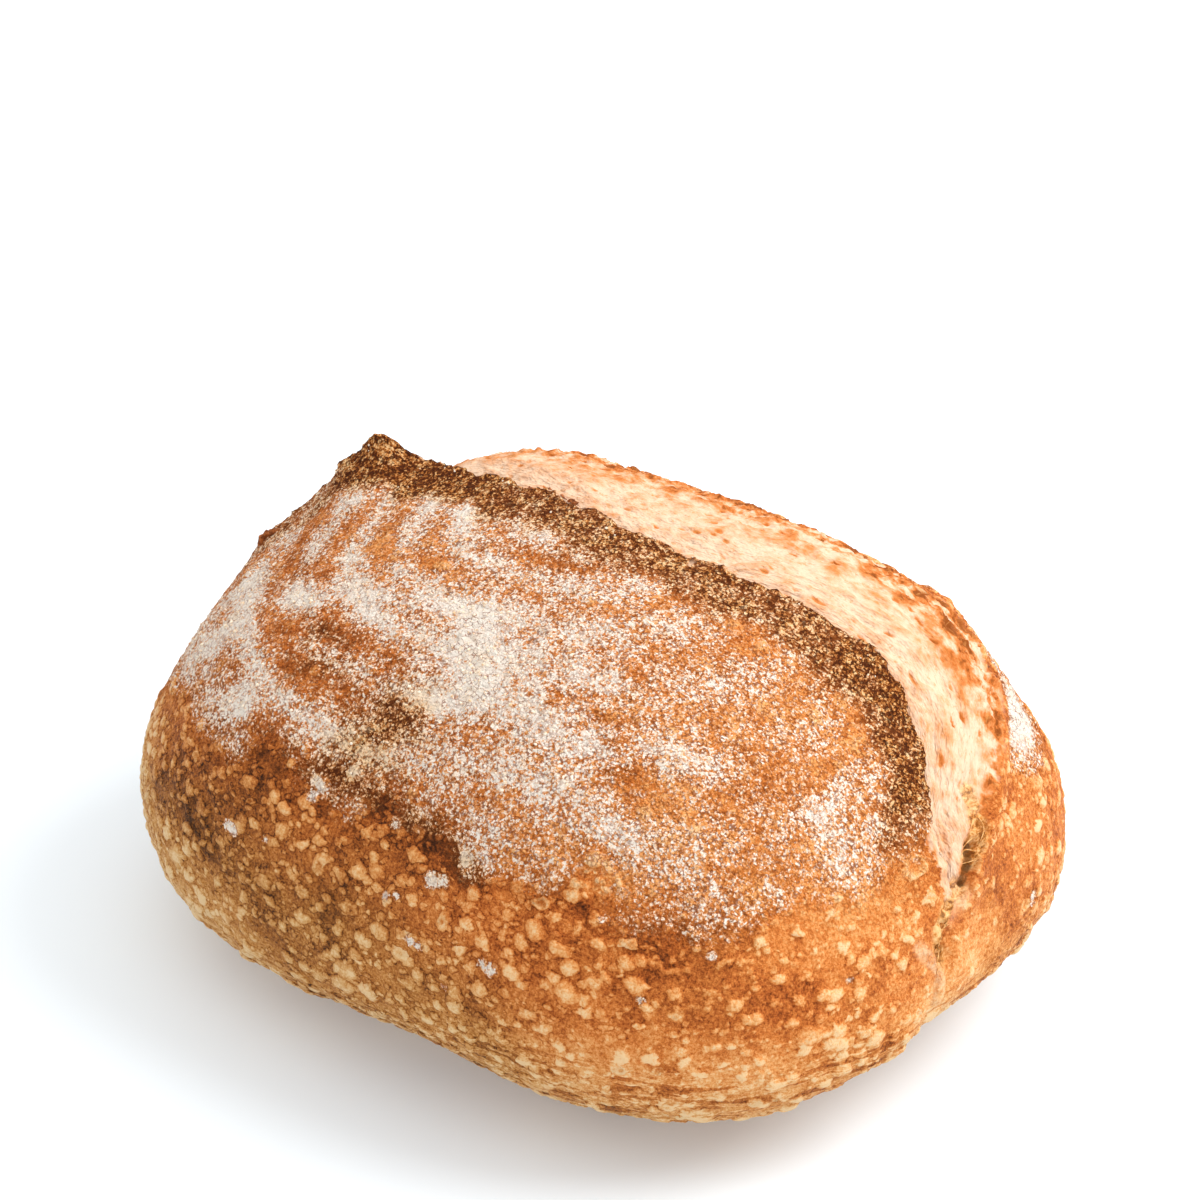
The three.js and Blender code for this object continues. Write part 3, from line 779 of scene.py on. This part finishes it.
def crust_material():
    """Baked crust, flour and torn dough, by the masks that the surface carries."""
    material, tree, surface = new_material("baked_crust")
    rest = read(tree, "rest", vector=True)
    crumb, flour, char, bake_and_light = (read(tree, name) for name in ("crumb", "flour", "char", "bake_and_light"))
    blistered, golden, far = (read(tree, name) for name in ("blistered", "golden", "far"))

    blisters = blister_pattern("ShaderNodeTree").use(tree, Rest=rest, Amount=blistered)
    dusting = flour_grains().use(tree, Rest=rest, Amount=flour, Granular=read(tree, "granular"))
    strength = blistered.smooth(0.0, 0.6)
    crest = blisters["Crest"]
    clouds = noise(rest, 24, 2.0) - 0.5
    mottle = noise(rest, 5.0, 5.0, 0.7) - 0.5
    specks = noise(rest, 0.8, 3.0, 0.8) - 0.5
    streaks = (noise(stretch(rest, 0.13, 0.13, 1.0), 2.0, 3.0, 0.6) - 0.5) * read(tree, "wrinkled")
    creases = (1 - streaks.math("ABSOLUTE") * 30).clamp() * read(tree, "wrinkled")
    level = bake_and_light + clouds * 0.5 + mottle * 0.8 + specks * 1.2 + streaks * 1.3 - creases * 0.3
    # Blister skins are paler than the crust between them and grow lighter towards their tops: their own paler
    # tint, with a painted highlight that gives them a dome look.
    skin = crest.smooth(0.05, 1.0)
    # Painted shade: a dark ring round the foot of each blister, in the crevices between them.
    groove_shade = crest.smooth(0.0, 0.12) * (1 - crest.smooth(0.15, 0.5))
    level = level + (groove_shade * read(tree, "groove_shade_strength") - skin * 0.4 + 0.15) * strength
    level = level + (blisters["Shade"] - 0.4) * skin * strength * 0.3
    level = level + blisters["Burst"] * 0.25
    # Burnt places darken the crust, but less on the blister tops, which keeps a painted highlight on them.
    level = (level + char * (mottle * 0.8 + 0.56 - crest * 0.2)).clamp()
    orange = ramp(level, (
        (0.0, srgb(240, 200, 150)), (0.2, srgb(234, 166, 100)), (0.42, srgb(212, 124, 56)),
        (0.62, srgb(172, 86, 32)), (0.8, srgb(112, 52, 16)), (1.0, srgb(48, 22, 8)),
    ))
    tan = ramp(level, (
        (0.0, srgb(228, 194, 146)), (0.2, srgb(214, 166, 106)), (0.42, srgb(192, 132, 68)),
        (0.62, srgb(154, 92, 38)), (0.8, srgb(104, 60, 22)), (1.0, srgb(48, 28, 12)),
    ))
    crust = mix_colours((golden + clouds * 0.8).clamp(), orange, tan)

    toasted = (char * 1.2 + mottle * 1.5).clamp()
    white = dusting["White"]
    floured = mix_colours(white.smooth(0.1, 0.7), crust, srgb(228, 168, 118))
    floured = mix_colours(white.smooth(0.42, 0.95), floured, srgb(247, 235, 221))
    toast = ramp(white + 0.2 - char * 0.4, (
        (0.0, srgb(84, 38, 12)), (0.28, srgb(150, 82, 32)), (0.55, srgb(206, 136, 70)),
        (0.85, srgb(246, 202, 146)),
    ))
    granules = mix_colours(toasted, floured, toast)
    gap = dusting["Gap"] * mix(0.65, 0.85, dusting["Zone"].larger(toasted))
    shadows = mix_colours((specks * 3 + 0.5).clamp(), srgb(172, 92, 40), srgb(104, 48, 18))
    granules = mix_colours(gap, granules, mix_colours(toasted, shadows, srgb(60, 26, 8)))
    crust = mix_colours(dusting["Here"], crust, granules)

    cut_way = read(tree, "cut_way", vector=True)
    dough = crumb_pattern("ShaderNodeTree").use(tree, Rest=rest, Cut_way=cut_way)
    scabs = noise(rest, 7.0, 4.0, 0.65)
    baked = far * 0.55 + (scabs - 0.5) * (far * 2.8 + 0.6) * 1.6 + (dough["Strands"] - 0.5) * 1.1
    # The pores and holes of the dough are darkened: painted shade in them.
    baked = (baked + (dough["Folds"] - 0.5) * 0.8 + dough["Pores"] * 0.6 + 0.12).clamp()
    crumb_colour = ramp(baked, (
        (0.0, srgb(232, 198, 168)), (0.25, srgb(225, 174, 136)), (0.5, srgb(212, 136, 80)),
        (0.75, srgb(192, 106, 46)), (1.0, srgb(140, 74, 28)),
    ))
    bent = cut_way.vector("ADD", noise_vector(rest, 5).vector("SCALE", scale=4 * MM))
    flecks = noise(stretch(bent, 0.6, 1.0, 1.0), 1.3, 4.0, 0.75).smooth(0.54, 0.66)
    crumb_colour = mix_colours(flecks * 0.6, crumb_colour, srgb(206, 138, 76))
    colour = mix_colours(crumb, crust, crumb_colour)
    fibres = noise(stretch(rest, 1.0, 0.5, 0.5), 1.1, 3.0, 0.7).smooth(0.35, 0.65)
    torn = ramp(fibres, ((0.0, srgb(120, 70, 26)), (0.4, srgb(204, 136, 64)), (1.0, srgb(244, 200, 140))))
    colour = mix_colours(read(tree, "seam").smooth(0.15, 0.7) * 0.8, colour, torn)
    pale_fold = read(tree, "fold").smooth(0.1, 0.9) * (fibres * 0.6 + 0.1)
    colour = mix_colours(pale_fold, colour, srgb(240, 206, 164))
    # Painted shade: the middle of the hole at the right end of the cut is darkened to dark brown, with fibres
    # breaking up its edge.
    hollow = read(tree, "cavity") + (fibres - 0.5) * 0.4 * read(tree, "cavity")
    colour = mix_colours(hollow.smooth(0.5, 0.9) * 0.85, colour, srgb(98, 58, 22))
    feed(tree, surface["Base Color"], colour)

    rough = mix(mix(0.6, 0.42, skin * strength), 0.95, dusting["Here"].larger(crumb * 0.8))
    feed(tree, surface["Roughness"], rough)
    feed(tree, surface["Specular IOR Level"], 0.1)
    feed(tree, surface["Normal"], bumps(fine_height(tree)))
    return material


def fine_height(tree):
    """The roughness finer than the mesh, in millimetres. It is kept plain, because bumps read it thrice."""
    rest = read(tree, "rest", vector=True)
    flour = read(tree, "flour")
    grains = (noise(rest, 0.7, 0.0) - 0.5) * read(tree, "granular").larger(flour)
    rough_crust = (noise(rest, 1.0, 3.0, 0.8) - 0.5) * (0.7 + 0.5 * flour) + grains * 0.6
    strands = noise(stretch(read(tree, "cut_way", vector=True), 0.6, 1.0, 1.0), 1.8, 2.0, 0.7)
    return mix(rough_crust, (strands - 0.5) * 1.2, read(tree, "crumb"))


def bumps(height):
    """The normals of a surface with this height in millimetres."""
    node = add(height.tree, "ShaderNodeBump", {"Height": height, "Distance": MM, "Strength": 1.0})
    return Value(height.tree, node.outputs[0])


def flour_grains():
    """Flour and semolina on the crust: granules packed between dark gaps, white where flour lies thick,
    closing there to a cracked cake. Where there are granules at all, how white each is, the gaps, and where
    flour lies thick enough for the gaps to look dark."""
    group = Group("flour_grains", "ShaderNodeTree",
                  {"Rest": "Vector", "Amount": "Float", "Granular": "Float"},
                  {"Here": "Float", "White": "Float", "Gap": "Float", "Zone": "Float"})
    rest = group["Rest"]
    amount = group["Amount"]
    strewn = amount.smooth(0.02, 0.3)
    local = amount + (noise(rest, 6.0, 5.0, 0.7) - 0.5) * strewn * 1.1
    place = rest.vector("ADD", noise_vector(rest, 1.1).vector("SCALE", scale=0.9 * MM))
    place = place.vector("ADD", noise_vector(rest, 0.5).vector("SCALE", scale=0.4 * MM))
    fine_away, (fine_there, _, fine_size) = cells(place, 0.7)
    fuzz = noise(rest, 0.6, 2.0, 0.7) - 0.5
    chance = (fine_there - 0.5) * 0.6 + fuzz * 1.5 + (noise(rest, 2.2, 2.0, 0.6) - 0.5) * 0.8
    cake = local.smooth(0.9, 1.15)
    fine_gap = (fine_away + noise(rest, 0.5, 1.0, 0.7) - 0.5 + fine_size * 0.12).smooth(0.5, 0.74)
    fine_gap = fine_gap * noise(rest, 1.7, 1.0, 0.6).smooth(0.34, 0.52)
    thick = local.smooth(0.5, 0.95)
    patchy = noise(rest, 2.4, 3.0, 0.7)
    cracks = cells(place, 1.8, "DISTANCE_TO_EDGE").smooth(0.1, 0.0) * patchy.smooth(0.4, 0.58) * thick
    gap = (fine_gap * (1 - thick * 0.6) * (1 - cake)).larger(cracks)
    here = group["Granular"].larger(strewn)
    white = (local + chance).smooth(-0.05, 1.0) * strewn
    group["Here"] = here
    group["White"] = white
    group["Gap"] = gap
    group["Zone"] = local.smooth(0.05, 0.5)
    return group


# Torn strands of dough and crumbs of crust

# Strands over the slit at the right end of the cut: start, end, thickness, and how far they stand out
GOLDEN_STRANDS = (
    ((106.8, 13.5, 71.8), (108.6, 8.8, 67.9), 0.28, 0.7),
    ((110.0, 12.6, 67.8), (109.4, 8.2, 66.9), 0.3, 0.8),
    ((110.2, 10.1, 66.9), (110.4, 5.4, 64.6), 0.28, 0.8),
    ((112.2, 8.0, 64.0), (110.8, 4.8, 64.9), 0.35, 0.6),
    ((112.6, 6.6, 63.6), (111.5, 2.6, 63.0), 0.26, 0.7),
    ((108.0, 13.0, 70.0), (111.4, 9.4, 66.2), 0.36, 0.6),
    ((115.2, -17.5, 56.8), (116.0, -14.2, 57.5), 0.28, 0.7),
    ((116.7, -14.9, 53.8), (116.3, -11.1, 56.7), 0.3, 0.8),
    ((117.3, -18.8, 50.4), (116.8, -14.7, 52.2), 0.3, 0.7),
    ((116.2, -14.7, 53.9), (115.8, -10.7, 53.8), 0.26, 0.8),
    ((117.8, -18.1, 47.3), (117.5, -14.3, 49.6), 0.34, 0.6),
    ((117.4, -16.7, 42.8), (118.0, -14.7, 45.3), 0.3, 0.5),
)
# Crumbs of crust behind the ear's rim, and the tip that hangs at the flap's left end, measured the same way
RIM_CRUMBS = (
    ((-15.5, 10.2, 116.9), (-19.5, 11.6, 116.6), 1.2, 0.6),
    ((-20.0, 11.2, 116.8), (-22.5, 13.0, 116.3), 0.9, 0.4),
    ((-24.5, 12.2, 116.6), (-29.0, 13.4, 115.8), 1.3, 0.6),
    ((-31.0, 12.4, 116.3), (-33.5, 14.0, 115.9), 0.9, 0.4),
    ((-96.5, -15.5, 93.8), (-100.6, -19.4, 88.8), 2.4, 1.6),
)


def surface_tree(body):
    """The finished surface, for setting small things on it."""
    return BVHTree.FromObject(body, bpy.context.evaluated_depsgraph_get())


def lay_strand(surface, start, end, thickness, stand_out, seed):
    """A strand between two places of the surface, with its ends sunk in and its middle standing out."""
    random = np.random.default_rng(seed)
    bpy.ops.curve.primitive_nurbs_path_add()
    strand = bpy.context.active_object
    points = strand.data.splines[0].points
    sway = random.uniform(-1.4, 1.4, 3)
    for number, point in enumerate(points):
        u = number / (len(points) - 1)
        arch = math.sin(math.pi * u)
        place = Vector((np.array(start) * (1 - u) + np.array(end) * u + sway * arch - MIDDLE) * MM)
        on_skin, outward, _, _ = surface.find_nearest(place)
        place = on_skin + outward * ((stand_out + 0.4) * arch - 0.4) * MM
        point.co = (*place, 1)
        point.radius = 0.55 + 0.6 * arch * random.uniform(0.7, 1.2)
    strand.data.bevel_depth = 0.5 * thickness * MM
    strand.data.bevel_resolution = 1
    strand.data.resolution_u = 3
    strand.data.use_fill_caps = True
    return strand


def join_strands(name, strands, material):
    """Makes strands one mesh piece, with its doubles merged and its faces outward."""
    bpy.ops.object.select_all(action="DESELECT")
    for strand in strands:
        strand.select_set(True)
    bpy.context.view_layer.objects.active = strands[0]
    bpy.ops.object.convert(target="MESH")
    bpy.ops.object.join()
    piece = bpy.context.active_object
    rename(piece, name)
    bpy.ops.object.transform_apply(location=True, rotation=True, scale=True)
    bpy.ops.object.mode_set(mode="EDIT")
    bpy.ops.mesh.select_all(action="SELECT")
    bpy.ops.mesh.remove_doubles(threshold=0.005 * MM)
    bpy.ops.mesh.normals_make_consistent(inside=False)
    bpy.ops.object.mode_set(mode="OBJECT")
    bpy.ops.object.shade_smooth()
    piece.data.materials.clear()
    piece.data.materials.append(material)
    return piece


def ragged_tree():
    """Geometry nodes that crumble a smooth strand."""
    group = Group("ragged_crumb", "GeometryNodeTree", {"Geometry": "Geometry"}, {"Geometry": "Geometry"})
    tree = group.tree
    place = Value(tree, tree.nodes.new("GeometryNodeInputPosition").outputs[0])
    coarse = noise_vector(place, 2.0).vector("SCALE", scale=2.4 * MM)
    fine = noise_vector(place, 0.8).vector("SCALE", scale=0.9 * MM)
    offset = coarse.vector("ADD", fine)
    moved = add(tree, "GeometryNodeSetPosition", {"Geometry": group["Geometry"], "Offset": offset})
    group["Geometry"] = Value(tree, moved.outputs[0])
    return tree


def crumble(piece):
    """Gives a smooth piece fine faces and a ragged surface."""
    finish_with(piece, "SUBSURF", levels=2, render_levels=2)
    finish_with(piece, "NODES", node_group=ragged_tree())


def strand_material(name, light, dark):
    """Dry torn dough or crust, streaked between two colours."""
    material, tree, surface = new_material(name)
    place = Value(tree, add(tree, "ShaderNodeTexCoord").outputs["Object"])
    streaks = noise(place, 1.6, 3.0, 0.6)
    feed(tree, surface["Base Color"], mix_colours(streaks.smooth(0.35, 0.65), light, dark))
    feed(tree, surface["Roughness"], 0.7)
    feed(tree, surface["Specular IOR Level"], 0.25)
    feed(tree, surface["Normal"], bumps(noise(place, 0.7, 2.0) * 0.2))
    return material


# Loose flour: the name of each piece, the part that it lies on, the size of its grains in millimetres, how
# many lie on a square millimetre where flour is thickest, and the seed
LOOSE_FLOUR = (
    ("fine_flour", "floured_flap", 0.6, 0.6, 3),
    ("coarse_flour", "floured_flap", 1.1, 0.12, 5),
    ("clumped_flour", "front_crust", 0.9, 0.6, 7),
)


def grain_tree(size, per_square_mm, seed):
    """Geometry nodes that leave only lumpy grains, scattered where flour lies."""
    group = Group("scattered_grains", "GeometryNodeTree", {"Geometry": "Geometry"}, {"Geometry": "Geometry"})
    tree = group.tree
    flour = read(tree, "flour")
    drifts = noise(read(tree, "rest", vector=True), 7.0, 5.0, 0.65) - 0.5
    there = (flour + drifts * 1.3 - 0.5).clamp() * flour.smooth(0.02, 0.3)
    spread = add(tree, "GeometryNodeDistributePointsOnFaces", {
        "Mesh": group["Geometry"], "Density": there * (per_square_mm / MM ** 2), "Seed": seed,
    })
    grain = add(tree, "GeometryNodeMeshUVSphere", {"Radius": 0.5 * size * MM, "Segments": 5, "Rings": 3})
    turn = add(tree, "FunctionNodeRandomValue", data_type="FLOAT_VECTOR")
    turn.inputs["Max"].default_value = (6.28, 6.28, 6.28)
    scale = add(tree, "FunctionNodeRandomValue", data_type="FLOAT_VECTOR")
    scale.inputs["Min"].default_value = (0.5, 0.5, 0.4)
    scale.inputs["Max"].default_value = (1.35, 1.2, 0.9)
    laid = add(tree, "GeometryNodeInstanceOnPoints", {
        "Points": Value(tree, spread.outputs["Points"]), "Instance": Value(tree, grain.outputs["Mesh"]),
        "Rotation": Value(tree, turn.outputs["Value"]), "Scale": Value(tree, scale.outputs["Value"]),
    })
    real = add(tree, "GeometryNodeRealizeInstances", {"Geometry": Value(tree, laid.outputs[0])})
    group["Geometry"] = Value(tree, real.outputs[0])
    return tree


def put_in_order(piece):
    """Numbers the faces by their distance from the cursor, so that a seed always strews the same grains."""
    only(piece)
    bpy.ops.object.mode_set(mode="EDIT")
    bpy.ops.mesh.select_all(action="SELECT")
    bpy.ops.mesh.sort_elements(type="CURSOR_DISTANCE", elements={"FACE"})
    bpy.ops.object.mode_set(mode="OBJECT")


def scatter_grains(name, source, size, per_square_mm, seed):
    """Strews grains over a piece as a piece of their own."""
    only(source)
    bpy.ops.object.duplicate()
    grains = bpy.context.active_object
    rename(grains, name)
    put_in_order(grains)
    finish_with(grains, "NODES", node_group=grain_tree(size, per_square_mm, seed))
    grains.data.materials.clear()
    return grains


def flour_material():
    material, tree, surface = new_material("flour")
    place = Value(tree, add(tree, "ShaderNodeTexCoord").outputs["Object"])
    shade = noise(place, 0.9, 2.0)
    colour = mix_colours(shade.smooth(0.35, 0.7), srgb(246, 234, 214), srgb(222, 182, 138))
    feed(tree, surface["Base Color"], colour)
    feed(tree, surface["Roughness"], 0.95)
    feed(tree, surface["Specular IOR Level"], 0.2)
    return material


# Stage, light and camera

FLOOR_COLOUR, FLOOR_GLOW = (0.73, 0.79, 0.83, 1), 0.17
SKY_LOW, SKY_HIGH = 0.5, 1.2  # the surround's strength below and above
KEY_PLACE, KEY_SIZE, KEY_POWER = (0.80, 0.58, 1.08), 0.9, 16

LOOKED_AT = np.array([0, 0, 47.0])
AZIMUTH, ELEVATION, DISTANCE = 38.71, 32.0, 846.0
FOCAL_PIXELS = 3227.0
LOOKED_AT_PIXEL = (597.1, 771.1)
FRAME_PIXELS = 1200
SENSOR = 36  # width of the camera's sensor in millimetres


def camera():
    """The camera at the photo's height, angle and distance."""
    azimuth, elevation = math.radians(AZIMUTH), math.radians(ELEVATION)
    level = Vector((math.sin(azimuth), -math.cos(azimuth), 0))
    back = level * math.cos(elevation) + Vector((0, 0, math.sin(elevation)))
    right = Vector((math.cos(azimuth), math.sin(azimuth), 0))
    up = back.cross(right)
    side = (FRAME_PIXELS / 2 - LOOKED_AT_PIXEL[0]) / FOCAL_PIXELS
    rise = (LOOKED_AT_PIXEL[1] - FRAME_PIXELS / 2) / FOCAL_PIXELS
    aim = right * side + up * rise - back
    bpy.ops.object.camera_add()
    eye = bpy.context.active_object
    eye.location = Vector((LOOKED_AT - MIDDLE) * MM) + back * DISTANCE * MM
    eye.rotation_euler = aim.to_track_quat("-Z", "Y").to_euler()
    eye.data.sensor_width = SENSOR
    eye.data.lens = SENSOR * FOCAL_PIXELS / FRAME_PIXELS
    eye.data.clip_start = 0.01
    bpy.context.scene.camera = eye


def stage():
    """A white floor, a bright even surround and one large soft light from behind on the right."""
    bpy.ops.mesh.primitive_plane_add(size=8)
    floor = bpy.context.active_object
    floor.name = "floor"
    ground, tree, surface = new_material("white_ground")
    feed(tree, surface["Base Color"], FLOOR_COLOUR)
    feed(tree, surface["Roughness"], 0.9)
    feed(tree, surface["Emission Color"], (1, 1, 1, 1))
    feed(tree, surface["Emission Strength"], FLOOR_GLOW)
    floor.data.materials.append(ground)
    world = bpy.data.worlds.new("surround")
    world.use_nodes = True
    tree = world.node_tree
    upward = Value(tree, add(tree, "ShaderNodeTexCoord").outputs["Generated"]).parts()[2]
    background = tree.nodes["Background"].inputs
    feed(tree, background["Color"], (1, 1, 1, 1))
    feed(tree, background["Strength"], mix(SKY_LOW, SKY_HIGH, upward.smooth(-0.2, 0.9)))
    bpy.context.scene.world = world
    bpy.ops.object.light_add(type="AREA", location=KEY_PLACE)
    key = bpy.context.active_object
    key.data.shape = "DISK"
    key.data.size = KEY_SIZE
    key.data.energy = KEY_POWER
    key.rotation_euler = (Vector((0, 0, 0.05)) - key.location).to_track_quat("-Z", "Y").to_euler()
    bpy.context.scene.view_settings.view_transform = "Standard"


# Making the loaf

body = fine_copy_of_solid()
loaf = measure_crust(body)
raise_relief(body)
surface = surface_tree(body)
golden = [lay_strand(surface, *strand, number) for number, strand in enumerate(GOLDEN_STRANDS)]
crumbs = [lay_strand(surface, *crumb, 40 + number) for number, crumb in enumerate(RIM_CRUMBS)]
golden_dough = strand_material("golden_dough", srgb(238, 192, 128), srgb(196, 128, 58))
rim_crust = strand_material("rim_crust", srgb(190, 112, 56), srgb(112, 58, 24))
golden_strands = join_strands("golden_strands", golden, golden_dough)
rim_crumbs = join_strands("rim_crumbs", crumbs, rim_crust)
crumble(rim_crumbs)
parts = part_body(body, without_islands(body.data, regions(loaf)))
crust = crust_material()
bpy.context.scene.cursor.location = HEART
for part in parts.values():
    close_behind(part)
    part.data.materials.append(crust)
bpy.context.scene.cursor.location = (0, 0, 0)

flour = flour_material()
loose_flour = [scatter_grains(name, parts[part], *strewn) for name, part, *strewn in LOOSE_FLOUR]
for grains in loose_flour:
    grains.data.materials.append(flour)

for piece in (*parts.values(), *loose_flour, golden_strands, rim_crumbs):
    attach(piece, "root")
for part in parts.values():
    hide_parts("loaf")

stage()
camera()
